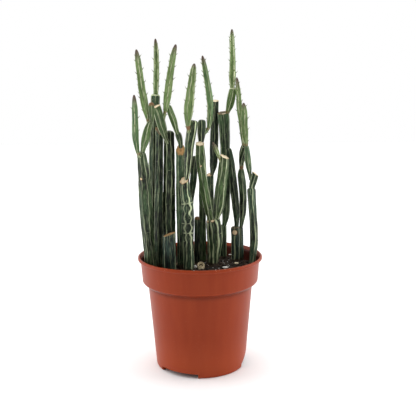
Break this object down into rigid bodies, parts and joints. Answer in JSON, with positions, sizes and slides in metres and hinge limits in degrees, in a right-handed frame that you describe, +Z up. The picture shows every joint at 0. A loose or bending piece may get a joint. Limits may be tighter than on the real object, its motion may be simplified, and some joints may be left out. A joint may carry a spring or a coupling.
{
  "type": "potted pickle plant",
  "caption": "Clump of finger-thin ribbed succulent stems, pruned and jointed, with young shoots, rooted in peat soil in a plastic nursery pot.",
  "frame": {"origin": "centre of the pot's foot, on the surface that it stands on", "axes": "+Z up, the way the stems grow; +Y towards the back, +X to the right as seen from the front"},
  "size_m": [0.12, 0.12, 0.3217],
  "materials": {
    "pot_plastic": "brick-coloured moulded plastic, satin",
    "potting_soil": "moist peat with perlite, rough and matt",
    "old_stem": "waxy dark green skin with pale lengthwise ribs",
    "young_stem": "waxy mid green skin with pale ribs and purple-brown points",
    "bark": "dry bark, matt",
    "perlite": "white expanded mineral, matt"
  },
  "bodies": {
    "root": {"pot": "pot_plastic", "soil": "potting_soil", "left_stem": "old_stem", "back_left_stem": "old_stem", "slant_cut_stem": "old_stem", "thin_left_stub": "old_stem", "thick_left_stem": "old_stem", "front_left_stump": "old_stem", "tan_cut_stem": "old_stem", "front_stem": "old_stem", "leaning_stem": "old_stem", "thin_middle_stub": "old_stem", "dark_middle_stem": "old_stem", "knuckled_stump": "old_stem", "back_middle_stump": "old_stem", "hidden_back_stem": "old_stem", "right_stump": "old_stem", "thin_right_stub": "old_stem", "far_right_stem": "old_stem", "left_stem_branch": "old_stem", "left_callus_stub": "old_stem", "thick_left_branch": "old_stem", "tan_cut_knuckle": "old_stem", "tan_cut_branch": "old_stem", "front_branch": "old_stem", "left_arm": "old_stem", "right_arm": "old_stem", "left_arm_branch": "old_stem", "back_middle_branch": "old_stem", "pale_topped_branch": "old_stem", "right_dark_branch": "old_stem", "right_branch": "old_stem", "right_branch_joint": "old_stem", "far_right_elbow": "old_stem", "far_right_branch": "old_stem", "cut_stump": "old_stem", "left_low_shoot": "young_stem", "left_tall_shoot": "young_stem", "back_left_tall_shoot": "young_stem", "thick_left_tall_shoot": "young_stem", "front_fat_shoot": "young_stem", "middle_tall_shoot": "young_stem", "right_arm_bud": "young_stem", "tallest_shoot_joint": "young_stem", "tallest_shoot": "young_stem", "right_tall_shoot": "young_stem", "far_right_short_shoot": "young_stem", "bark_chip": "bark", "twig": "bark", "perlite_left": "perlite", "perlite_right": "perlite", "perlite_back": "perlite"}
  },
  "joints": []
}
